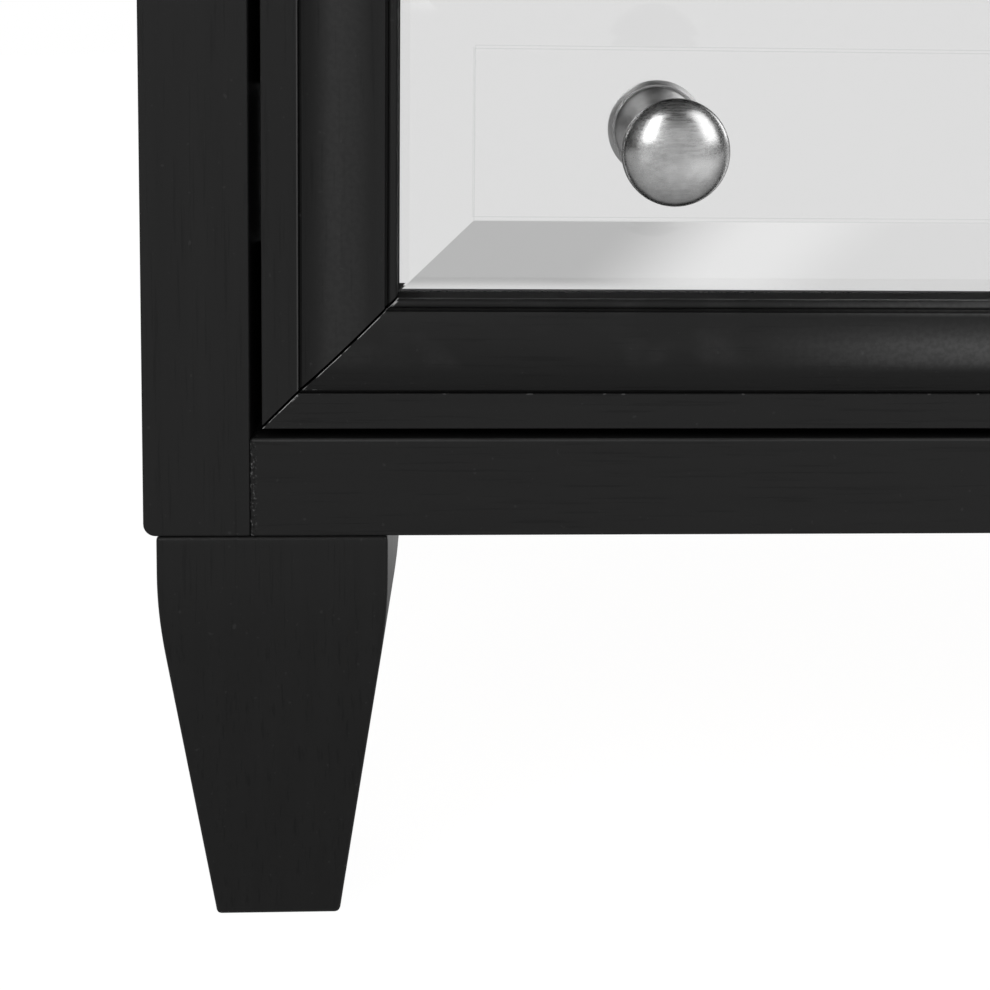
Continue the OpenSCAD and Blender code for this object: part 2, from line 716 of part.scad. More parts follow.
// The knuckles of one leaf: every other fifth of the hinge, from the given one
module leaf(side, first) {
    x0 = pin_x + side * (gap_side / 2 - leaf_t);
    x1 = pin_x + side * gap_side / 2;
    for (z = hinge_z) difference() {
        union() {
            board([min(x0, x1), -pin_y - knuckle_d / 2 + soft_gap, z],
                [max(x0, x1), leaf_w, z + hinge_l]);
            for (i = [first:2:4]) {
                low = z + i * knuckle_l + knuckle_gap / 2;
                rod_z([pin_x, pin_y, low], knuckle_d, knuckle_l - knuckle_gap);
                board([min(x0, x1), pin_y, low], [max(x0, x1), leaf_w, low + knuckle_l - knuckle_gap]);
            }
        }
        rod_z([pin_x, pin_y, z - over], hinge_pin_d + 2 * hinge_fit, hinge_l + 2 * over);
    }
}
module hinge_case_leaves() { color(nickel) placed() leaf(1, 0); }
module hinge_door_leaves() { color(nickel) placed() leaf(-1, 1); }
pin_head_h = 3;
module hinge_pins() {
    color(nickel) placed() for (z = hinge_z) {
        rod_z([pin_x, pin_y, z], hinge_pin_d, hinge_l);
        for (end = [z - pin_head_h, z + hinge_l]) rod_z([pin_x, pin_y, end], knuckle_d - 2, pin_head_h);
    }
}

leg_front_left();
leg_front_right();
leg_rear_left();
leg_rear_right();
post_front_left();
post_front_right();
post_rear_left();
post_rear_right();
base_rail_front();
mid_rail_front();
top_rail_front();
back_rails();
side_rails_left();
side_rails_right();
side_panels();
bottom_panel();
deck_panel();
top_panel();
back_panel();
back_mirror();
side_glass_left();
side_glass_right();
side_beads_left();
side_beads_right();
glass_shelves();
shelf_pins();
corner_blocks();
leg_bolts();
back_screws();
runner_boards();
slide_case_members();
slide_middle_left();
slide_middle_right();
slide_drawer_members();
drawer_mould_bottom();
drawer_mould_top();
drawer_mould_left();
drawer_mould_right();
drawer_mirror();
mirror_backer();
drawer_box_front();
drawer_sides();
drawer_box_back();
drawer_bottom();
drawer_knobs();
drawer_knob_screws();
door_mould_bottom();
door_mould_top();
door_mould_left();
door_mould_right();
door_glass();
door_beads();
door_knob();
door_knob_screw();
hinge_case_leaves();
hinge_door_leaves();
hinge_pins();
magnetic_catch();
strike_plate();
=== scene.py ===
"""A black painted showcase cabinet on tapered legs: its looks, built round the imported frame."""
import json
from math import acos, asin, atan2, cos, hypot, pi, radians, sin, sqrt

import bmesh
import bpy
from mathutils import Matrix, Vector

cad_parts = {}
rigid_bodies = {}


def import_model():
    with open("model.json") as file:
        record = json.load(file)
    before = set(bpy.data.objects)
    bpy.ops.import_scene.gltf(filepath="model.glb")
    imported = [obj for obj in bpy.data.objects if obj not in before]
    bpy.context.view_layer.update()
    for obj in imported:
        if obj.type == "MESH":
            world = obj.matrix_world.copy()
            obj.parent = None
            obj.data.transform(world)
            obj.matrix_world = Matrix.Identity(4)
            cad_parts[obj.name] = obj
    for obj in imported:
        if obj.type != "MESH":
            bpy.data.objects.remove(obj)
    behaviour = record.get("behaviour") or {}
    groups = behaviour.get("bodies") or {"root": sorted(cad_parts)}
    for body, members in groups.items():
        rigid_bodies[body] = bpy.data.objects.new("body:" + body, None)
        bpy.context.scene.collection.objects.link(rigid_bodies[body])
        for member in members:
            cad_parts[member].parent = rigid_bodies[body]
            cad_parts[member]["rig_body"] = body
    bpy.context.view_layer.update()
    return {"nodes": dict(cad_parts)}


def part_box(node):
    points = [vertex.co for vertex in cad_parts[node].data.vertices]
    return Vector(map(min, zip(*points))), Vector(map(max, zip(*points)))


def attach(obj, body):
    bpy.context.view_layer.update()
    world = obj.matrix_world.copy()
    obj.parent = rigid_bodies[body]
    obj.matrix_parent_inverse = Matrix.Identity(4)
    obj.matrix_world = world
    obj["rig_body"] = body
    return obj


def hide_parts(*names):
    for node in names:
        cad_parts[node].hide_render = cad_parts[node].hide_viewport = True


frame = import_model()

MM = 0.001
X, Y = Vector((1, 0, 0)), Vector((0, 1, 0))


# ---- Places that come from the frame ----

face_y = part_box("post_front_left")[0].y          # the front face of the posts and of the flat bands
mould_low, mould_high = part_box("drawer_mould_left")
mould_w = mould_high.x - mould_low.x
front_back_y = mould_high.y                      # the back of the mouldings


def front_box(kind):
    """Lowest and highest corner of a whole front: the drawer's or the door's four mouldings."""
    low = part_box(kind + "_mould_left")[0]
    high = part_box(kind + "_mould_right")[1]
    return low, high


# ---- Sizes of a moulding's section, which its wear follows too ----

MOULD_FLAT = 10.0 * MM                           # flat band along the outer edge
GROOVE_W = 0.55 * MM                             # groove between the flat band and the cushion
GROOVE_DEEP = 1.0 * MM
CROWN_AT = 26 * MM                               # from the outer edge to the top of the cushion
CROWN_H = face_y - mould_low.y                   # how far the cushion stands out in front of the flat band
QUIRK_W = 0.6 * MM                               # step between the cushion and the bead
BEAD_W = 2.8 * MM                                # bead along the glass
BEAD_H = 3.2 * MM
LIP_DEEP = 6.8 * MM                              # from the flat band back to the glass
POCKET_W = 6 * MM                                # how far the glass goes in behind the moulding
ARRIS = 0.4 * MM                                 # rounding of the flat band's edges
JOINT_LEVEL = 0.05 * MM                          # how far a level moulding ends short of the mitre
JOINT_UPRIGHT = 0.9 * MM                         # how far an upright one does: the joint has opened a little


# ---- Shader maths ----

class Socket:
    """One output of a node. Arithmetic on it adds Math nodes to its tree."""

    def __init__(self, shade, socket):
        self.shade = shade
        self.socket = socket

    def math(self, operation, *values):
        return self.shade.node("ShaderNodeMath", {"operation": operation}, dict(enumerate(values)))

    def __add__(self, other):
        return self.math("ADD", self, other)

    def __radd__(self, other):
        return self.math("ADD", other, self)

    def __sub__(self, other):
        return self.math("SUBTRACT", self, other)

    def __rsub__(self, other):
        return self.math("SUBTRACT", other, self)

    def __mul__(self, other):
        return self.math("MULTIPLY", self, other)

    def __rmul__(self, other):
        return self.math("MULTIPLY", other, self)

    def __pow__(self, other):
        return self.math("POWER", self, other)

    def least(self, other):
        return self.math("MINIMUM", self, other)

    def most(self, other):
        return self.math("MAXIMUM", self, other)

    def size(self):
        return self.math("ABSOLUTE", self)

    def step(self, low, high, start=0.0, end=1.0):
        """Goes smoothly from start to end as the value goes from low to high."""
        settings = {"interpolation_type": "SMOOTHSTEP"}
        sockets = {0: self, 1: low, 2: high, 3: start, 4: end}
        return self.shade.node("ShaderNodeMapRange", settings, sockets)


class Shade:
    """The node tree of one material or of the world."""

    def __init__(self, owner):
        owner.use_nodes = True
        self.tree = owner.node_tree
        self.tree.nodes.clear()

    def node(self, kind, settings=None, sockets=None, output=0):
        """Adds a node: first its settings, then the values or links of its sockets."""
        made = self.tree.nodes.new(kind)
        for name, value in (settings or {}).items():
            setattr(made, name, value)
        for name, value in (sockets or {}).items():
            if isinstance(value, Socket):
                self.tree.links.new(value.socket, made.inputs[name])
            elif isinstance(value, tuple) and len(value) == 3 and made.inputs[name].type == "RGBA":
                made.inputs[name].default_value = (*value, 1)
            else:
                made.inputs[name].default_value = value
        return Socket(self, made.outputs[output]) if len(made.outputs) else made

    def place(self):
        """Where a point is: the objects all stand at the origin, so this is its place in the part."""
        return self.node("ShaderNodeTexCoord", output="Object")

    def parts(self, vector):
        """The three numbers of a vector."""
        first = self.node("ShaderNodeSeparateXYZ", None, {0: vector})
        return [Socket(self, output) for output in first.socket.node.outputs]

    def rays(self, *kinds):
        """For each kind of ray, 1 where such a ray meets the surface, and 0 elsewhere."""
        outputs = self.node("ShaderNodeLightPath").socket.node.outputs
        return [Socket(self, outputs[f"Is {kind} Ray"]) for kind in kinds]

    def stretched(self, scale, shift=(0, 0, 0)):
        """Object coordinates with their own scale along each axis."""
        sockets = {"Vector": self.place(), "Scale": scale, "Location": shift}
        return self.node("ShaderNodeMapping", None, sockets)

    def noise(self, vector, scale, detail):
        return self.node("ShaderNodeTexNoise", None, {"Vector": vector, "Scale": scale, "Detail": detail})

    def blend(self, amount, first, second):
        """A colour between two colours."""
        settings = {"data_type": "RGBA"}
        return self.node("ShaderNodeMix", settings, {"Factor": amount, 6: first, 7: second}, output=2)

    def bump(self, height, distance, strength):
        sockets = {"Height": height, "Distance": distance, "Strength": strength}
        return self.node("ShaderNodeBump", None, sockets)

    def surface(self, shader):
        self.node("ShaderNodeOutputMaterial", None, {"Surface": shader})

    def principled(self, **sockets):
        named = {name.replace("_", " "): value for name, value in sockets.items()}
        return self.node("ShaderNodeBsdfPrincipled", None, named)


def new_material(name):
    material = bpy.data.materials.new(name)
    return material, Shade(material)


# Grain runs along one axis: the scale of a pattern along it is a small share of that across it
GRAIN = {"x": (0.03, 1, 1), "y": (1, 0.03, 1), "z": (1, 1, 0.03)}


def from_ends(place, low, high):
    """How far a place is from the nearer of two ends."""
    return (place - low).least(high - place)


def mitre_wear_and_highlight(shade, front):
    """How pale the paint is at a front's mitre joints, 0 to 1: a thin broken line along each joint, a painted
    highlight on the level mouldings' mitre edges, and chips of wear where it meets the groove and the bead
    and along the groove close to it."""
    low, high = front_box(front)
    x, _, z = shade.parts(shade.place())
    across, up = from_ends(x, low.x, high.x), from_ends(z, low.z, high.z)
    ragged = shade.noise(shade.place(), 700, 4.0)
    broken = shade.noise(shade.place(), 260, 3.0).step(0.36, 0.5)
    past = across - up                           # over 0 on the level mouldings, under 0 on the uprights
    off = past.size()
    # The line, on the level mouldings' mitre edges, is a painted highlight; the chips below are wear
    line = (past + 0.5 * MM * ragged).step(0.45 * MM, 0.6 * MM, 1.0, 0.0) * past.step(0.0, 0.03 * MM) * broken
    near_groove = (across - (MOULD_FLAT - 0.8 * MM)).size().step(0.5 * MM, 1.2 * MM, 1.0, 0.0)
    at_groove = near_groove * off.step(0.4 * MM, 0.9 * MM, 1.0, 0.0)
    at_bead = across.step(mould_w - 1.8 * MM, mould_w - 0.8 * MM) * off.step(0.5 * MM, 1.1 * MM, 1.0, 0.0)
    in_groove = (up - (MOULD_FLAT + 0.8 * MM)).size().step(0.2 * MM, 0.4 * MM, 1.0, 0.0)
    along_groove = in_groove * past.step(2 * MM, 6 * MM, 1.0, 0.0) * past.step(0.0, 0.1 * MM)
    chips = (at_groove + at_bead + along_groove) * ragged.step(0.45, 0.58)
    return line.most(chips.least(1))


def burnish(shade, front, along):
    """How far a front's mouldings are rubbed to a shine, 0 to 1: the uprights a little all along their
    crowns, the level ones round their middle, and elsewhere only in faint patches."""
    low, high = front_box(front)
    x, _, z = shade.parts(shade.place())
    spots = 0.7 + 0.3 * shade.noise(shade.place(), 700, 4.0).step(0.35, 0.65)
    if along == "z":
        across = from_ends(x, low.x, high.x)
        return 0.24 * across.step(13 * MM, 20 * MM) * across.step(25 * MM, 31 * MM, 1.0, 0.0) * spots
    patches = 0.16 * shade.noise(shade.place(), 45, 2.0).step(0.48, 0.66)
    middle = (x - (low.x + high.x) / 2).size().step(45 * MM, 125 * MM, 1.0, 0.0).most(patches)
    up = from_ends(z, low.z, high.z)
    crown = up.step(16.5 * MM, 20.5 * MM) * up.step(23.5 * MM, 34 * MM, 1.0, 0.0)
    bead = up.step(mould_w - 4.5 * MM, mould_w - 3.5 * MM)
    return (crown + 0.9 * bead).least(1) * middle * spots


def joint_flecks(shade, node):
    """Chips, 0 to 1, and pits, 0 to 1, in the paint close to the ends of a board that runs along X."""
    low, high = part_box(node)
    x, _, _ = shade.parts(shade.place())
    close = from_ends(x, low.x, high.x).step(0.6 * MM, 2.4 * MM, 1.0, 0.0)
    flecks = shade.noise(shade.place(), 1500, 2.0)
    return close * flecks.step(0.58, 0.68), close * flecks.step(0.36, 0.48, 1.0, 0.0)


def black_paint(name, along, front=None, gloss=0.25, rough=0.38, pale=0.0085, in_dashes=False, joined=None):
    """Satin black paint over a fine grain that runs along one axis. A front's paint has wear at its mitres
    with a painted highlight along them, and burnished crowns; paint in dashes is pale only in spots; and a
    joined board has flecks at its ends."""
    material, shade = new_material(name)
    grain = shade.noise(shade.stretched(GRAIN[along]), 1300, 2.0)
    pores = grain.step(0.3, 0.42)
    brushed = shade.noise(shade.stretched(GRAIN[along], (0.3, 0.1, 0.2)), 260, 3.0)
    cloud = shade.noise(shade.place(), 14, 3.0)
    lumps = shade.noise(shade.place(), 110, 2.0)
    specks = shade.noise(shade.place(), 520, 1.0).step(0.73, 0.8)
    tone = 0.45 + 0.25 * pores + 0.3 * brushed
    # In dashes, the pale paint of a painted highlight shows only in spots
    if in_dashes:
        tone = tone * (0.15 + 0.85 * shade.noise(shade.place(), 420, 2.0).step(0.62, 0.7))
    colour = shade.blend(tone, (0.0, 0.0, 0.0), (pale, pale, pale))
    colour = shade.blend(specks * 0.2, colour, (0.05, 0.05, 0.05))
    height = 0.6 * pores + 0.9 * brushed + 2.2 * lumps
    shine = {}
    if front:
        shine = {"Coat_Weight": burnish(shade, front, along), "Coat_Roughness": 0.3, "Coat_IOR": 1.7}
        # Wear at the mitres, with a painted highlight along the level mouldings' edges
        wear_and_highlight = mitre_wear_and_highlight(shade, front)
        colour = shade.blend(wear_and_highlight, colour, (0.24, 0.24, 0.24))
        height = height - wear_and_highlight
    if joined:
        chips, pits = joint_flecks(shade, joined)
        colour = shade.blend(chips * 0.6, colour, (0.12, 0.12, 0.12))
        colour = shade.blend(pits, colour, (0.0, 0.0, 0.0))
        height = height - 3.0 * pits
    roughness = rough + 0.08 * cloud + 0.05 * brushed
    shade.surface(shade.principled(
        Base_Color=colour, Roughness=roughness, Specular_IOR_Level=gloss,
        Normal=shade.bump(height, 0.06 * MM, 0.5), **shine))
    return material


def bare_wood(name, along):
    """Pale wood with growth rings drawn out along one axis."""
    material, shade = new_material(name)
    warp = shade.noise(shade.stretched(GRAIN[along]), 30, 3.0)
    rings = shade.node("ShaderNodeMath", {"operation": "FRACT"}, {0: warp * 9})
    fibre = shade.noise(shade.stretched(GRAIN[along]), 900, 2.0)
    tone = rings.step(0.0, 1.0) * 0.55 + fibre * 0.45
    colour = shade.blend(tone, (0.40, 0.27, 0.145), (0.60, 0.45, 0.27))
    shade.surface(shade.principled(
        Base_Color=colour, Roughness=0.5 + 0.15 * fibre, Specular_IOR_Level=0.4,
        Normal=shade.bump(fibre + rings * 0.4, 0.1 * MM, 0.5)))
    return material


def metal(name, colour, roughness, brushed=None, mottle=0.0):
    """A metal with fine brush marks along an axis, or with coarser marks and a mottled plating."""
    material, shade = new_material(name)
    fineness, relief = (2400, 0.006 * MM) if brushed else (900, 0.004 * MM)
    marks = shade.noise(shade.stretched(GRAIN[brushed or "x"]), fineness, 3.0).step(0.3, 0.7)
    cloud = shade.noise(shade.place(), 260, 3.0).step(0.3, 0.7)
    darker = tuple(0.72 * value for value in colour)
    tone = shade.blend(marks * 0.4 + cloud * (0.6 + mottle), darker, colour)
    shade.surface(shade.principled(
        Base_Color=tone, Metallic=1.0, Roughness=roughness - 0.04 + 0.1 * marks + mottle * cloud,
        Normal=shade.bump(marks, relief, 0.6)))
    return material


def silvering(name):
    """The silver on the back of a mirror."""
    material, shade = new_material(name)
    haze = shade.noise(shade.place(), 6, 2.0)
    colour = shade.blend(haze, (0.903, 0.903, 0.903), (0.923, 0.923, 0.923))
    shade.surface(shade.principled(Base_Color=colour, Metallic=1.0, Roughness=0.0))
    return material


def clear_glass(name, tint, ior, roughness=0.0):
    """Clear glass that lets light and shadow rays through as a thin pane does."""
    material, shade = new_material(name)
    cast = shade.noise(shade.place(), 3, 1.0)
    colour = shade.blend(cast, tint, tuple(0.985 * value for value in tint))
    pane = shade.principled(Base_Color=colour, Roughness=roughness, IOR=ior, Transmission_Weight=1.0)
    shadow, diffuse = shade.rays("Shadow", "Diffuse")
    thin = shade.node("ShaderNodeBsdfTransparent", None, {"Color": tint})
    shade.surface(shade.node("ShaderNodeMixShader", None, {0: shadow.most(diffuse), 1: pane, 2: thin}))
    return material


def moulded_plastic(name, colour):
    """Plastic with a fine grained skin."""
    material, shade = new_material(name)
    skin = shade.noise(shade.place(), 1800, 2.0)
    tone = shade.blend(skin, colour, tuple(0.93 * value for value in colour))
    shade.surface(shade.principled(
        Base_Color=tone, Roughness=0.42 + 0.06 * skin, Normal=shade.bump(skin, 0.02 * MM, 0.4)))
    return material


PAINT = {axis: black_paint("black_paint_" + axis, axis) for axis in "xyz"}
FRONT_PAINT = {
    (front, axis): black_paint("black_paint_" + front + "_" + axis, axis, front)
    for front in ("drawer", "door") for axis in "xz"
}
RAIL_PAINT = black_paint("black_paint_rail", "x", joined="base_rail_front")
LEG_PAINT = black_paint("black_paint_leg", "z", rough=0.3)
MATT_PAINT = black_paint("black_paint_matt", "x", gloss=0.03, rough=0.6)
# Paler paint for the arrises of boards: a painted highlight along their rounded edges
ARRIS_HIGHLIGHT_PAINT = {axis: black_paint("black_paint_arris_highlight_" + axis, axis, pale=0.025) for axis in "xyz"}
# Paler paint for the arris at a moulding's groove: a painted highlight, in dashes on the level mouldings
GROOVE_HIGHLIGHT_PAINT = {axis: black_paint("black_paint_groove_highlight_" + axis, axis, pale=0.048, in_dashes=axis == "x")
              for axis in "xz"}
WOOD = {axis: bare_wood("bare_wood_" + axis, axis) for axis in "xyz"}
NICKEL = metal("satin_nickel", (0.70, 0.70, 0.70), 0.27, "x")
# Nearly black nickel for the dome's edge: a painted dark outline, shade painted round the head
NICKEL_DARK_OUTLINE = metal("satin_nickel_dark_outline", (0.13, 0.13, 0.13), 0.3)
NICKEL_BACK = metal("satin_nickel_back", (0.66, 0.66, 0.66), 0.38, mottle=0.2)
PLATED = metal("plated_steel", (0.62, 0.62, 0.61), 0.22)
ZINC = metal("zinc_steel", (0.60, 0.61, 0.63), 0.3, mottle=0.12)
DARK_STEEL = metal("pole_steel", (0.30, 0.30, 0.31), 0.35, mottle=0.1)
SILVER = silvering("mirror_silver")
MIRROR_GLASS = clear_glass("mirror_glass", (0.986, 0.986, 0.986), 1.6)
GLASS = clear_glass("clear_glass", (0.97, 0.99, 0.982), 1.52)
GLASS_EDGE = clear_glass("glass_edge", (0.55, 0.80, 0.70), 1.52, 0.12)
RIDGE_GLASS = clear_glass("glass_ridge", (0.83, 0.84, 0.835), 1.55, 0.03)
PLASTIC = moulded_plastic("white_plastic", (0.75, 0.75, 0.72))


# ---- Mesh helpers ----

def piece(name, bm, materials, instead_of=(), body=None, sharp=32):
    """Ends a mesh: smooth shading up to an angle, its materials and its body."""
    for face in bm.faces:
        face.smooth = True
    for edge in bm.edges:
        edge.smooth = len(edge.link_faces) == 2 and edge.calc_face_angle(pi) < radians(sharp)
    mesh = bpy.data.meshes.new(name)
    bm.to_mesh(mesh)
    bm.free()
    made = bpy.data.objects.new(name, mesh)
    bpy.context.scene.collection.objects.link(made)
    for material in materials if isinstance(materials, list) else [materials]:
        mesh.materials.append(material)
    even = made.modifiers.new("even_shading", "WEIGHTED_NORMAL")
    even.keep_sharp = True
    nodes = [instead_of] if isinstance(instead_of, str) else list(instead_of)
    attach(made, body or frame["nodes"][nodes[0]]["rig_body"])
    if nodes:
        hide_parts(*nodes)


def cad_copy(node):
    """A copy of a CAD node's mesh, merged, with its flat faces made whole."""
    bm = bmesh.new()
    bm.from_mesh(frame["nodes"][node].data)
    bmesh.ops.remove_doubles(bm, verts=bm.verts, dist=1e-6)
    bmesh.ops.dissolve_limit(bm, angle_limit=radians(0.5), verts=bm.verts, edges=bm.edges)
    return bm


def round_edges(bm, edges, width, segments, clamp=True, index=-1):
    """Rounds edges; the new faces take the material with this index."""
    bmesh.ops.bevel(bm, geom=list(edges), offset=width, offset_type="OFFSET", segments=segments, profile=0.5,
                    affect="EDGES", material=index, clamp_overlap=clamp)


def painted(along):
    """Paint for the faces of a piece, and paler paint for its arrises, a painted highlight."""
    return [PAINT[along], ARRIS_HIGHLIGHT_PAINT[along]]


def sharp_edges(bm, longer_than=0.0, angle=30):
    """The edges at which two faces turn by more than an angle, in degrees."""
    return [edge for edge in bm.edges if len(edge.link_faces) == 2
            and edge.calc_face_angle(0) > radians(angle) and edge.calc_length() > longer_than]


def joined_to(verts):
    """These points and all the points that hang together with them."""
    found = set(verts)
    waiting = list(verts)
    while waiting:
        for edge in waiting.pop().link_edges:
            for vert in edge.verts:
                if vert not in found:
                    found.add(vert)
                    waiting.append(vert)
    return found


def solids(node):
    """Lowest and highest corner of each separate solid of a CAD node."""
    bm = cad_copy(node)
    waiting = set(bm.verts)
    boxes = []
    while waiting:
        found = joined_to([waiting.pop()])
        waiting -= found
        low = Vector(min(vert.co[i] for vert in found) for i in range(3))
        high = Vector(max(vert.co[i] for vert in found) for i in range(3))
        boxes.append((low, high))
    bm.free()
    return sorted(boxes, key=lambda box: tuple(round(value, 5) for value in (*box[0], *box[1])))


def add_board(bm, low, high):
    """A plain board between two corners; its edges are rounded later."""
    size = high - low
    place = Matrix.Translation((low + high) / 2) @ Matrix.Diagonal((*size, 1))
    bmesh.ops.create_cube(bm, size=1, matrix=place)


def boards(node, material, width=0.7 * MM, segments=3):
    """The node's boards, each with rounded arrises. Where a list gives a second material, the arrises take it
    as a painted highlight, but not those at a board's ends or underneath."""
    bm = bmesh.new()
    ends = set()
    for low, high in solids(node):
        add_board(bm, low, high)
        longest = max(range(3), key=lambda axis: (high - low)[axis])
        ends |= {(longest, round(low[longest], 4)), (longest, round(high[longest], 4))}
    round_edges(bm, bm.edges, width, segments, index=1 if isinstance(material, list) else -1)
    for face in bm.faces:
        middle = face.calc_center_median()
        # Arrises underneath and at the ends keep the plain paint: the painted highlight is only on the upper
        # arrises
        if face.normal.z < -0.1 or any(abs(middle[axis] - at) < width for axis, at in ends):
            face.material_index = 0
    piece(node + "_finish", bm, material, node)


def softened(node, material, width, longer_than=0.0, clamp=True):
    """The CAD shape itself with its sharp edges rounded."""
    bm = cad_copy(node)
    round_edges(bm, sharp_edges(bm, longer_than), width, 2, clamp)
    piece(node + "_finish", bm, material, node)


def turned(bm, profile, steps, place):
    """A lathe-turned solid: profile is (radius, height) from the bottom to the top, about +Z."""
    verts = [bm.verts.new((radius, 0, height)) for radius, height in profile]
    edges = [bm.edges.new(pair) for pair in zip(verts, verts[1:])]
    bmesh.ops.spin(bm, geom=verts + edges, cent=(0, 0, 0), axis=(0, 0, 1), angle=2 * pi, steps=steps,
                   use_merge=True, use_duplicate=False)
    made = joined_to(verts)
    bmesh.ops.remove_doubles(bm, verts=list(made), dist=1e-7)
    made = [vert for vert in made if vert.is_valid]
    faces = {face for vert in made for face in vert.link_faces}
    bmesh.ops.recalc_face_normals(bm, faces=list(faces))
    bmesh.ops.transform(bm, matrix=place, verts=made)


def arc(centre, radius, start, end, steps):
    """Points of an arc, from one angle to another, in degrees."""
    angles = [radians(start + (end - start) * i / steps) for i in range(steps + 1)]
    return [(centre[0] + radius * cos(a), centre[1] + radius * sin(a)) for a in angles]


def facing(direction, place):
    """A matrix that puts a thing drawn along +Z at a place, along a direction."""
    return Matrix.Translation(place) @ Vector(direction).to_track_quat("Z", "Y").to_matrix().to_4x4()


def cross_head(bm, place, radius, thickness, foot_radius, dome=0.0):
    """A screw head with a tapered cross recess: its rim at the place, its foot below it."""
    bar, reach, deep, taper = 0.14 * radius, 0.52 * radius, 0.6 * radius, 0.6
    corners = [(bar, reach), (bar, bar), (reach, bar), (reach, -bar), (bar, -bar), (bar, -reach),
               (-bar, -reach), (-bar, -bar), (-reach, -bar), (-reach, bar), (-bar, bar), (-bar, reach)]
    cross = [bm.verts.new((x, y, dome)) for x, y in corners]
    cross_edges = [bm.edges.new((cross[i - 1], cross[i])) for i in range(len(cross))]
    rim = bmesh.ops.create_circle(bm, cap_ends=False, segments=24, radius=radius)["verts"]
    rim_edges = list({edge for vert in rim for edge in vert.link_edges})
    bmesh.ops.bridge_loops(bm, edges=cross_edges + rim_edges)
    pit = bm.faces.new(cross)
    sunk = bmesh.ops.extrude_face_region(bm, geom=[pit])["geom"]
    floor_verts = [item for item in sunk if isinstance(item, bmesh.types.BMVert)]
    bmesh.ops.translate(bm, vec=(0, 0, -deep), verts=floor_verts)
    bmesh.ops.scale(bm, vec=(taper, taper, 1), verts=floor_verts)
    if pit.is_valid:
        bmesh.ops.delete(bm, geom=[pit], context="FACES_ONLY")
    skirt = bmesh.ops.extrude_edge_only(bm, edges=rim_edges)["geom"]
    foot = [item for item in skirt if isinstance(item, bmesh.types.BMVert)]
    share = foot_radius / radius
    bmesh.ops.scale(bm, vec=(share, share, 1), verts=foot)
    bmesh.ops.translate(bm, vec=(0, 0, -thickness), verts=foot)
    foot_edges = [item for item in skirt if isinstance(item, bmesh.types.BMEdge)]
    bmesh.ops.edgeloop_fill(bm, edges=foot_edges)
    verts = list({*cross, *rim, *floor_verts, *foot})
    faces = {face for vert in verts for face in vert.link_faces}
    bmesh.ops.recalc_face_normals(bm, faces=list(faces))
    bmesh.ops.transform(bm, matrix=place, verts=verts)


# ---- Case: legs, posts, rails and panels ----

LEG_STRAIGHT = 10.7 * MM                         # straight length under the case
LEG_CURVE = 160 * MM                             # radius of the curve into the taper
LEG_FOOT_W = 35 * MM                             # width of a foot, seen from the front
LEG_FOOT_D = 44 * MM                             # depth of a foot, seen from the side
LEG_CUTS = 40                                    # rings of points that draw the curve
LEG_ARRIS = 1.3 * MM


def leg_half(height, top, foot, leg_height):
    """Half the width of a leg at a height: straight, then a curve, then a straight taper."""
    fall = leg_height - LEG_STRAIGHT
    centre = top / 2 - LEG_CURVE
    inward = foot / 2 - centre
    taper = atan2(fall, inward) - acos(LEG_CURVE / hypot(inward, fall))
    below = fall - height
    if below <= 0:
        return top / 2
    if below <= LEG_CURVE * sin(taper):
        return centre + sqrt(LEG_CURVE ** 2 - below ** 2)
    bend_x = centre + LEG_CURVE * cos(taper)
    bend_z = fall - LEG_CURVE * sin(taper)
    return foot / 2 + (bend_x - foot / 2) * height / bend_z


def leg(node):
    """A leg that tapers on all four sides, with its edges rounded."""
    low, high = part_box(node)
    size = high - low
    bm = bmesh.new()
    add_board(bm, low, high)
    upright = [edge for edge in bm.edges if abs(edge.verts[0].co.z - edge.verts[1].co.z) > size.z / 2]
    bmesh.ops.subdivide_edges(bm, edges=upright, cuts=LEG_CUTS, use_grid_fill=True)
    middle = (low + high) / 2
    for vert in bm.verts:
        for axis, foot in ((0, LEG_FOOT_W), (1, LEG_FOOT_D)):
            half = leg_half(vert.co.z - low.z, size[axis], foot, size.z)
            vert.co[axis] = middle[axis] + (half if vert.co[axis] > middle[axis] else -half)
    round_edges(bm, sharp_edges(bm, angle=45), LEG_ARRIS, 3, clamp=False)
    piece(node + "_finish", bm, LEG_PAINT, node)


def post(node):
    """A corner post with its long arrises and its foot rounded; its pin holes stay sharp."""
    bm = cad_copy(node)
    low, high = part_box(node)
    edges = [edge for edge in sharp_edges(bm)
             if edge.calc_length() > 8 * MM or edge.verts[0].co.z < low.z + 5 * MM]
    round_edges(bm, edges, 0.7 * MM, 3, clamp=False)
    piece(node + "_finish", bm, PAINT["z"], node)


def case():
    """Legs, posts, rails, panels and the glass beads of the sides."""
    for side in ("left", "right"):
        leg("leg_front_" + side)
        leg("leg_rear_" + side)
        post("post_front_" + side)
        post("post_rear_" + side)
        boards("side_rails_" + side, painted("y"))
        softened("side_beads_" + side, PAINT["z"], 0.8 * MM)
    boards("base_rail_front", [RAIL_PAINT, ARRIS_HIGHLIGHT_PAINT["x"]])
    for node in ("mid_rail_front", "top_rail_front", "back_rails", "deck_panel"):
        boards(node, painted("x"))
    boards("side_panels", painted("z"))
    boards("bottom_panel", WOOD["x"], 0.4 * MM)
    boards("runner_boards", WOOD["y"], 0.5 * MM)
    softened("top_panel", PAINT["x"], 0.4 * MM)
    softened("corner_blocks", WOOD["x"], 0.5 * MM, longer_than=9 * MM, clamp=False)
    softened("back_panel", PAINT["z"], 0.6 * MM, longer_than=20 * MM, clamp=False)


# ---- Mouldings ----

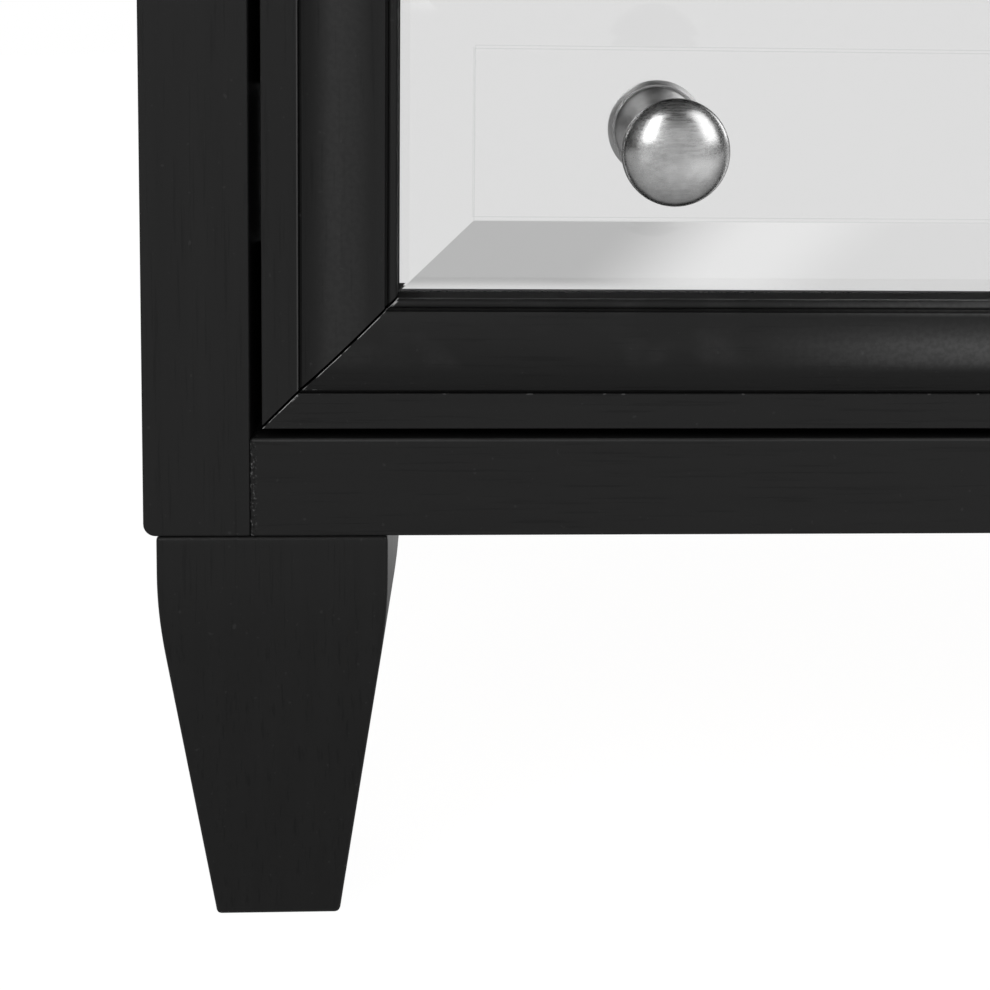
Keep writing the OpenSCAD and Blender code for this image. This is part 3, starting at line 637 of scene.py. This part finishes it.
def moulding_section():
    """Section of a moulding: across from the outer edge to the glass, and forward from the flat band."""
    back = face_y - front_back_y
    cushion_at = MOULD_FLAT + GROOVE_W
    cushion_end = mould_w - BEAD_W - QUIRK_W
    rise = CROWN_H + 0.2 * MM
    radius = ((CROWN_AT - cushion_at) ** 2 + rise ** 2) / (2 * rise)
    low = asin((CROWN_AT - cushion_at) / radius) / radians(1)
    high = asin((cushion_end - CROWN_AT) / radius) / radians(1)
    bead_r = BEAD_W / 2
    pocket_at = mould_w - POCKET_W
    return [
        (0, back),
        *arc((ARRIS, -ARRIS), ARRIS, 180, 90, 4),
        *arc((MOULD_FLAT - ARRIS, -ARRIS), ARRIS, 90, 0, 4),
        (MOULD_FLAT, -GROOVE_DEEP), (cushion_at, -GROOVE_DEEP),
        *arc((CROWN_AT, CROWN_H - radius), radius, 90 + low, 90 - high, 40),
        (cushion_end, BEAD_H - bead_r),
        *arc((mould_w - bead_r, BEAD_H - bead_r), bead_r, 180, 0, 14),
        (mould_w, -LIP_DEEP), (pocket_at, -LIP_DEEP), (pocket_at, back),
    ]


def mitre(bm, at, normal):
    """Cuts a moulding off along a mitre and closes the cut."""
    geometry = [*bm.verts, *bm.edges, *bm.faces]
    cut = bmesh.ops.bisect_plane(bm, geom=geometry, dist=1e-7, plane_co=at, plane_no=normal, clear_outer=True)
    edges = [item for item in cut["geom_cut"] if isinstance(item, bmesh.types.BMEdge)]
    for face in bmesh.ops.edgeloop_fill(bm, edges=edges)["faces"]:
        face.material_index = 1


def moulding(front, side, along, length, joint, place):
    """One mitred moulding, drawn along +X with its outer edge down, then put in its place. Its groove, its
    back, its side towards the glass and its mitres are matt, and the arris at its groove has paler paint, a
    painted highlight."""
    node = front + "_mould_" + side
    bm = bmesh.new()
    section = [bm.verts.new((0, -forward, across)) for across, forward in moulding_section()]
    end = bm.faces.new(section)
    grown = bmesh.ops.extrude_face_region(bm, geom=[end])["geom"]
    bmesh.ops.translate(bm, vec=(length, 0, 0), verts=[v for v in grown if isinstance(v, bmesh.types.BMVert)])
    for face in bm.faces:
        middle = face.calc_center_median()
        if middle.y > 0 and abs(face.normal.x) < 0.5 and middle.z > MOULD_FLAT / 2:
            # The arris at the groove takes the painted highlight; the groove, back and inner side are matt
            face.material_index = 2 if middle.z < MOULD_FLAT - ARRIS / 20 else 1
    mitre(bm, (joint, 0, 0), (-1, 0, 1))
    mitre(bm, (length - joint, 0, 0), (1, 0, 1))
    bmesh.ops.transform(bm, matrix=place, verts=bm.verts)
    bmesh.ops.recalc_face_normals(bm, faces=bm.faces)
    paints = [FRONT_PAINT[front, along], MATT_PAINT, GROOVE_HIGHLIGHT_PAINT[along]]
    piece(node + "_finish", bm, paints, node, sharp=28)


def mouldings(front):
    """The four mouldings of the drawer's or the door's front."""
    low, high = front_box(front)
    width, height = high.x - low.x, high.z - low.z
    low_left = Matrix.Translation((low.x, face_y, low.z))
    top_left = Matrix.Translation((low.x, face_y, high.z))
    top_right = Matrix.Translation((high.x, face_y, high.z))
    flip_z = Matrix.Diagonal((1, 1, -1, 1))
    flip_x = Matrix.Diagonal((-1, 1, 1, 1))
    stand = Matrix.Rotation(-pi / 2, 4, "Y")
    moulding(front, "bottom", "x", width, JOINT_LEVEL, low_left)
    moulding(front, "top", "x", width, JOINT_LEVEL, top_left @ flip_z)
    moulding(front, "left", "z", height, JOINT_UPRIGHT, low_left @ flip_x @ stand)
    moulding(front, "right", "z", height, JOINT_UPRIGHT, top_right @ flip_z @ stand)


# ---- Glass and mirrors ----

BEVEL_W = 25.4 * MM
BEVEL_DROP = 3.3 * MM                            # how far back the bevel's outer edge lies
RIDGE_W = 0.3 * MM                               # the fine grey line between the bevel and the flat
SILVER_T = 0.1 * MM


def bevelled_pane(node, material, back_y):
    """A pane with a wide ground bevel round its front, and a fine grey line where that meets the flat."""
    low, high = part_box(node)
    bm = bmesh.new()
    add_board(bm, Vector((low.x, low.y + BEVEL_DROP, low.z)), Vector((high.x, back_y, high.z)))
    front = min(bm.faces, key=lambda face: face.calc_center_median().y)
    bmesh.ops.inset_region(bm, faces=[front], thickness=BEVEL_W, depth=BEVEL_DROP, use_even_offset=True,
                           use_boundary=True)
    ridges = [edge for edge in bm.edges
              if all(vert.co.y < low.y + BEVEL_DROP / 2 for vert in edge.verts)]
    round_edges(bm, ridges, RIDGE_W / 2, 1, index=1)
    piece(node + "_finish", bm, [material, RIDGE_GLASS], node, sharp=2)


def silver(name, low, high, body):
    """The silver on a mirror: its front lies within the glass, so that no two faces share a plane."""
    bm = bmesh.new()
    rim = Vector((SILVER_T, 0, SILVER_T))
    add_board(bm, Vector((low.x, high.y - SILVER_T, low.z)) + rim, high - rim)
    piece(name, bm, SILVER, body=body)


def glass_boards(node):
    """Panes with polished arrises, greener where they are seen on edge."""
    bm = bmesh.new()
    panes = solids(node)
    for low, high in panes:
        add_board(bm, low, high)
    round_edges(bm, bm.edges, 0.5 * MM, 2)
    size = panes[0][1] - panes[0][0]
    thin = min(range(3), key=lambda axis: size[axis])
    for face in bm.faces:
        face.material_index = 0 if abs(face.normal[thin]) > 0.9 else 1
    piece(node + "_finish", bm, [GLASS, GLASS_EDGE], node)


def glazing():
    """The drawer's mirror, the glass of the door and sides, the shelves and the mirrored back."""
    low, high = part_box("drawer_mirror")
    bevelled_pane("drawer_mirror", MIRROR_GLASS, high.y - SILVER_T / 2)
    silver("drawer_mirror_silver", low, high, "drawer")
    bevelled_pane("door_glass", GLASS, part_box("door_glass")[1].y)
    for node in ("side_glass_left", "side_glass_right", "glass_shelves"):
        glass_boards(node)
    low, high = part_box("back_mirror")
    bm = bmesh.new()
    add_board(bm, low, Vector((high.x, high.y - SILVER_T / 2, high.z)))
    piece("back_mirror_finish", bm, MIRROR_GLASS, "back_mirror")
    silver("back_mirror_silver", low, high, "case")
    softened("door_beads", PAINT["z"], 0.7 * MM)


# ---- Knobs, screws and pins ----

def knob_profile(radius, height):
    """Radius and height up a knob from the glass: foot, neck, flared back, rolled rim and dome."""
    dome = 7.4 * MM
    rim_h = height - dome
    edge = radians(6)
    wide = radius / cos(edge)
    angles = [edge + i * (pi / 2 - edge) / 30 for i in range(30)]
    foot_r, neck_r = 7.5 * MM, 5.5 * MM
    back_r = radius - 1.6 * MM
    return [
        (0, 0), (foot_r - 0.3 * MM, 0), (foot_r, 0.3 * MM), (foot_r, 1.2 * MM), (foot_r - 0.4 * MM, 1.6 * MM),
        *arc((neck_r + 2.2 * MM, 3.9 * MM), 2.2 * MM, 250, 180, 8),
        *arc((neck_r + 4 * MM, 9.0 * MM), 4 * MM, 180, 132, 8),
        (back_r - 0.5 * MM, rim_h - 2.1 * MM),
        (back_r, rim_h - 1.9 * MM),
        (back_r + 0.05 * MM, rim_h - 1.5 * MM),
        (back_r + 0.5 * MM, rim_h - 1.4 * MM),
        (radius - 0.5 * MM, rim_h - 0.4 * MM), (radius - 0.15 * MM, rim_h + 0.2 * MM),
        (radius - 0.02 * MM, rim_h + 0.6 * MM),
        *[(wide * cos(angle), rim_h + dome * sin(angle)) for angle in angles],
        (0, height),
    ]


def knobs(node):
    """A front's knobs. Their flared backs have the second finish, and the edge of the dome has the third, a
    nearly black nickel that paints in the dark outline round the head.
    """
    bm = bmesh.new()
    feet = []
    for low, high in solids(node):
        feet.append(Vector(((low.x + high.x) / 2, high.y, (low.z + high.z) / 2)))
        radius = (high.x - low.x) / 2
        turned(bm, knob_profile(radius, high.y - low.y), 96, facing(-Y, feet[-1]))
        for face in bm.faces:
            middle = face.calc_center_median()
            off_axis = min(hypot(middle.x - foot.x, middle.z - foot.z) for foot in feet)
            if face.normal.y > 0.2 and middle.y < high.y - 5 * MM:
                face.material_index = 1
            # The dome's edge takes the nearly black nickel of the painted outline
            elif off_axis > 0.97 * radius and face.normal.y < -0.2:
                face.material_index = 2
    piece(node + "_finish", bm, [NICKEL, NICKEL_BACK, NICKEL_DARK_OUTLINE], node, sharp=40)


def back_screws():
    """Countersunk screws, each with a pointed shank."""
    bm = bmesh.new()
    for low, high in solids("back_screws"):
        middle = (low + high) / 2
        head_r, head_t = (high.x - low.x) / 2, 2 * MM
        shank_r, shank_l = head_r / 2, high.y - low.y - head_t
        cross_head(bm, facing(Y, (middle.x, high.y, middle.z)), head_r - 0.1 * MM, head_t - 0.1 * MM, shank_r)
        shank = [(0, 0), (1.2 * MM, 2 * MM), (shank_r, 4 * MM), (shank_r, shank_l), (0, shank_l)]
        turned(bm, shank, 16, facing(Y, (middle.x, low.y, middle.z)))
    piece("back_screws_finish", bm, ZINC, "back_screws")


def knob_screws(node):
    """Domed screws, each with a plain shank."""
    head_t, dome, shank_r, chamfer = 3 * MM, 0.5 * MM, 2 * MM, 0.4 * MM
    bm = bmesh.new()
    for low, high in solids(node):
        middle = (low + high) / 2
        head_r = (high.x - low.x) / 2
        shank_l = high.y - low.y - head_t
        head_at = facing(Y, (middle.x, high.y - dome, middle.z))
        cross_head(bm, head_at, head_r, head_t - dome, head_r, dome)
        shank = [(0, 0), (shank_r - chamfer, 0), (shank_r, chamfer), (shank_r, shank_l), (0, shank_l)]
        turned(bm, shank, 20, facing(Y, (middle.x, low.y, middle.z)))
    piece(node + "_finish", bm, ZINC, node)


def shelf_pins():
    """Plated pins with a collar at the post and a rounded nose under the glass."""
    bm = bmesh.new()
    for low, high in solids("shelf_pins"):
        middle = (low + high) / 2
        length, radius = high.x - low.x, (high.z - low.z) / 2
        inward = -1 if middle.x > 0 else 1
        start = high.x if inward < 0 else low.x
        collar = 9 * MM
        profile = [
            (0, 0), (radius - 0.5 * MM, 0), (radius - 0.2 * MM, 0.4 * MM), (radius - 0.2 * MM, collar),
            (radius, collar), (radius, collar + 1.2 * MM), (radius - 0.3 * MM, collar + 1.5 * MM),
            (radius - 0.3 * MM, length - 1.2 * MM),
            *arc((radius - 1.3 * MM, length - 1.0 * MM), 1.0 * MM, 0, 90, 5),
            (0, length),
        ]
        turned(bm, profile, 24, facing(X * inward, (start, middle.y, middle.z)))
    piece("shelf_pins_finish", bm, PLATED, "shelf_pins")


# ---- Hinges, slides and catch ----

LEAF_T = 1.4 * MM
SLIDE_T = 1.2 * MM
PROUD = 0.05 * MM                                # how far a screw's head stands out of a leaf or web
SMALL_SCREW = 2.6 * MM, 1.0 * MM, 1.4 * MM       # radius and thickness of a head, and its radius underneath
SLIDE_SCREW = 3.4 * MM, 1.0 * MM, 1.8 * MM


def hinges():
    """Hinge leaves, each with three screws, the middle one nearer the leaf's rear edge."""
    leaves = solids("hinge_case_leaves")
    for node, side in (("hinge_case_leaves", 1), ("hinge_door_leaves", -1)):
        bm = cad_copy(node)
        round_edges(bm, sharp_edges(bm, 8 * MM), 0.2 * MM, 2, clamp=False)
        low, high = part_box(node)
        face_x = (high.x if side > 0 else low.x) - side * (LEAF_T + PROUD)
        for leaf_low, leaf_high in leaves:
            for share, from_edge in ((0.16, 8.6 * MM), (0.5, 5.2 * MM), (0.84, 8.6 * MM)):
                at = face_x, high.y - from_edge, leaf_low.z + (leaf_high.z - leaf_low.z) * share
                cross_head(bm, facing(-X * side, at), *SMALL_SCREW)
        piece(node + "_finish", bm, PLATED, node)


def hinge_pins():
    """Pins with a rounded head at both ends."""
    bm = bmesh.new()
    for low, high in solids("hinge_pins"):
        middle = (low + high) / 2
        head_r, pin_r, length = (high.x - low.x) / 2, 1.7 * MM, high.z - low.z
        head_h = 3 * MM
        profile = [
            (0, 0), *arc((head_r - 1.2 * MM, 1.2 * MM), 1.2 * MM, -90, 0, 5), (head_r, head_h - 0.3 * MM),
            (head_r - 0.3 * MM, head_h), (pin_r, head_h), (pin_r, length - head_h),
            (head_r - 0.3 * MM, length - head_h), (head_r, length - head_h + 0.3 * MM),
            *arc((head_r - 1.2 * MM, length - 1.2 * MM), 1.2 * MM, 0, 90, 5), (0, length),
        ]
        turned(bm, profile, 32, Matrix.Translation((middle.x, middle.y, low.z)))
    piece("hinge_pins_finish", bm, PLATED, "hinge_pins")


def slides():
    """Folded steel slide members. Those of the case and of the drawer are screwed on through their webs."""
    for node in ("slide_middle_left", "slide_middle_right", "slide_case_members", "slide_drawer_members"):
        bm = cad_copy(node)
        round_edges(bm, sharp_edges(bm, 20 * MM), 0.3 * MM, 2, clamp=False)
        if not node.startswith("slide_middle"):
            on_drawer = node == "slide_drawer_members"
            for low, high in solids(node):
                outward = 1 if low.x > 0 else -1
                web = (low.x if outward > 0 else high.x) if on_drawer else (high.x if outward > 0 else low.x)
                normal = X * outward * (1 if on_drawer else -1)
                seat = web + normal.x * (SLIDE_T + PROUD)
                for share in (0.08, 0.5, 0.92):
                    y = low.y + (high.y - low.y) * share
                    cross_head(bm, facing(normal, (seat, y, (low.z + high.z) / 2)), *SLIDE_SCREW)
        piece(node + "_finish", bm, ZINC, node)


def catch():
    """A magnetic catch: a plastic body that holds a magnet between two steel poles."""
    low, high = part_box("magnetic_catch")
    bm = bmesh.new()
    add_board(bm, low + Vector((0, 1 * MM, 0)), high)
    round_edges(bm, bm.edges, 0.8 * MM, 3)
    piece("magnetic_catch_finish", bm, PLASTIC, "magnetic_catch")
    bm = bmesh.new()
    middle = (low.z + high.z) / 2
    pole_t, pole_deep, from_side = 1.6 * MM, 6 * MM, 9 * MM
    for z in (middle - 2 * pole_t, middle + pole_t):
        add_board(bm, Vector((low.x + from_side, low.y, z)),
                  Vector((high.x - from_side, low.y + pole_deep, z + pole_t)))
    round_edges(bm, bm.edges, 0.2 * MM, 2)
    piece("magnetic_catch_poles", bm, DARK_STEEL, body="case")


def strike_plate():
    """A plate with rounded corners, held by one screw."""
    low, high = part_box("strike_plate")
    bm = bmesh.new()
    add_board(bm, low, high)
    round_edges(bm, [edge for edge in bm.edges if abs(edge.verts[0].co.y - edge.verts[1].co.y) > 0.5 * MM],
                2 * MM, 4)
    head_at = (low.x + high.x) / 2, high.y + 0.02 * MM, (low.z + high.z) / 2
    cross_head(bm, facing(Y, head_at), *SMALL_SCREW)
    piece("strike_plate_finish", bm, ZINC, "strike_plate")


# ---- Drawer box ----

def drawer_box():
    """The bare wooden box behind the drawer's front."""
    for node, along, width in (("mirror_backer", "x", 0.4 * MM), ("drawer_box_front", "x", 0.8 * MM),
                               ("drawer_sides", "y", 0.8 * MM), ("drawer_box_back", "x", 0.8 * MM)):
        softened(node, WOOD[along], width, longer_than=20 * MM, clamp=False)
    boards("drawer_bottom", WOOD["x"], 0.3 * MM, 1)


case()
mouldings("drawer")
mouldings("door")
glazing()
knobs("drawer_knobs")
knobs("door_knob")
back_screws()
knob_screws("drawer_knob_screws")
knob_screws("door_knob_screw")
softened("leg_bolts", ZINC, 0.4 * MM, longer_than=3 * MM)
shelf_pins()
hinges()
hinge_pins()
slides()
catch()
strike_plate()
drawer_box()


# ---- Studio ----

FLOOR_R = 3.4                                    # where the floor ends
WALL_SEEN = 0.825                                # how pale panes and mirrors see the floor and the wall
FLAG_DARK = 0.315                                # how much darker than the wall the flag's left part is,
FLAG_EDGE = 0.07                                 # how much lighter its edge is,
FLAG_END = 0.055                                 # and how much darker its right end is


def pool(x, y, centre_x, centre_y, radius):
    """A soft round pool of light on the floor."""
    return ((x - centre_x) ** 2 + (y - centre_y) ** 2).step(0.0, radius ** 2, 1.0, 0.0)


def floor():
    """A pale floor, white for the camera. Gloss sees it white behind the object, and grey in front of it,
    with a painted shadow close by and two painted pools of light."""
    bm = bmesh.new()
    bmesh.ops.create_circle(bm, cap_ends=True, segments=96, radius=FLOOR_R)
    mesh = bpy.data.meshes.new("floor")
    bm.to_mesh(mesh)
    bm.free()
    made = bpy.data.objects.new("floor", mesh)
    bpy.context.scene.collection.objects.link(made)
    material, shade = new_material("pale_floor")
    camera, glossy, through = shade.rays("Camera", "Glossy", "Transmission")
    gloss = glossy * (1 - through)
    x, y, _ = shade.parts(shade.place())
    # Painted shadow of the object: the glow that gloss sees is dimmer close in front of it
    out_of_painted_shadow = y.step(-0.5, -0.2, 1.0, 0.6)
    behind = y.step(0.0, 0.3)
    # Painted pools of light: the floor glows brighter here, though no lamp shines on it
    left_pool = pool(x, y, -0.85, -1.15, 0.32)
    right_pool = pool(x, y, 0.3, -0.8, 0.6)
    sheen = (0.53 + 0.9 * left_pool + 0.4 * right_pool) * out_of_painted_shadow * (1 - behind) + behind
    plain = shade.principled(Base_Color=(0.9, 0.9, 0.9), Roughness=0.9, Specular_IOR_Level=0.1)
    strength = 1.05 * camera + through * WALL_SEEN + gloss * sheen
    glow = shade.node("ShaderNodeEmission", None, {"Strength": strength})
    seen = (camera * 0.92).most(glossy).most(through)
    shade.surface(shade.node("ShaderNodeMixShader", None, {0: seen, 1: plain, 2: glow}))
    mesh.materials.append(material)


def softbox(name, at, aim, width, height, energy, mirrored=True):
    """A rectangular lamp. One that isn't mirrored lights the object without a highlight."""
    light = bpy.data.lights.new(name, "AREA")
    light.shape = "RECTANGLE"
    light.size = width
    light.size_y = height
    light.energy = energy
    made = bpy.data.objects.new(name, light)
    made.location = at
    made.rotation_euler = (Vector(aim) - Vector(at)).to_track_quat("-Z", "Y").to_euler()
    made.visible_glossy = made.visible_transmission = mirrored
    bpy.context.scene.collection.objects.link(made)


def studio_world():
    """A studio that is white for the camera. Gloss sees a grey front wall, dark sides and roof and a white
    back. Panes and mirrors see a pale wall, with a grey flag low in front."""
    world = bpy.data.worlds.new("studio")
    bpy.context.scene.world = world
    shade = Shade(world)
    camera, glossy, through = shade.rays("Camera", "Glossy", "Transmission")
    x, y, z = shade.parts(shade.node("ShaderNodeTexCoord", output="Generated"))
    roof = z.step(0.36, 0.68)
    sides = x.size().step(0.55, 0.97)
    behind = y.step(0.3, 0.8)
    room = (0.05 + 0.48 * (1 - roof) * (1 - sides)) * (1 - behind) + 0.95 * behind
    front = y.step(-0.75, -0.55, 1.0, 0.0)
    slant = x - z
    band = z.step(-0.048, -0.041) * z.step(0.06, 0.1, 1.0, 0.0) * front
    dark = x.step(-0.5, -0.4) * slant.step(0.08, 0.165, 1.0, 0.0)
    end = slant.step(0.18, 0.24)
    edge = slant.step(0.08, 0.165) * (1 - end)
    wall = WALL_SEEN - band * (FLAG_DARK * dark - FLAG_EDGE * edge + FLAG_END * end)
    gloss = glossy * (1 - through)
    matt = (1 - camera - glossy).most(0) * (1 - through)
    strength = camera + through * wall + gloss * room + 0.7 * matt
    background = shade.node("ShaderNodeBackground", None, {"Color": (1.0, 1.0, 1.0), "Strength": strength})
    shade.node("ShaderNodeOutputWorld", None, {"Surface": background})


def camera():
    """Close in front of the drawer's lower left corner, looking a little down. Its shift keeps the cabinet's
    uprights almost upright."""
    data = bpy.data.cameras.new("camera")
    data.lens = 62.53
    data.shift_x = -0.0886
    data.shift_y = -0.388
    data.clip_start = 0.05
    made = bpy.data.objects.new("camera", data)
    made.location = (-0.1847, -0.6389, 0.2816)
    made.rotation_euler = (radians(90 - 5.868), radians(-0.809), radians(-2.865))
    bpy.context.scene.collection.objects.link(made)
    bpy.context.scene.camera = made


floor()
studio_world()
# The two side lamps give a knob its highlights, and the one in front only fills
softbox("left_box", (-1.08, -1.6, 1.25), (-0.14, -0.2, 0.5), 0.6, 1.4, 11)
softbox("right_box", (1.15, -1.1, 1.2), (-0.14, -0.2, 0.3), 1.0, 1.7, 10)
softbox("front_box", (0.2, -3.0, 2.6), (0, 0, 0.7), 2.0, 1.2, 20, mirrored=False)
camera()
bpy.context.scene.view_settings.view_transform = "Standard"
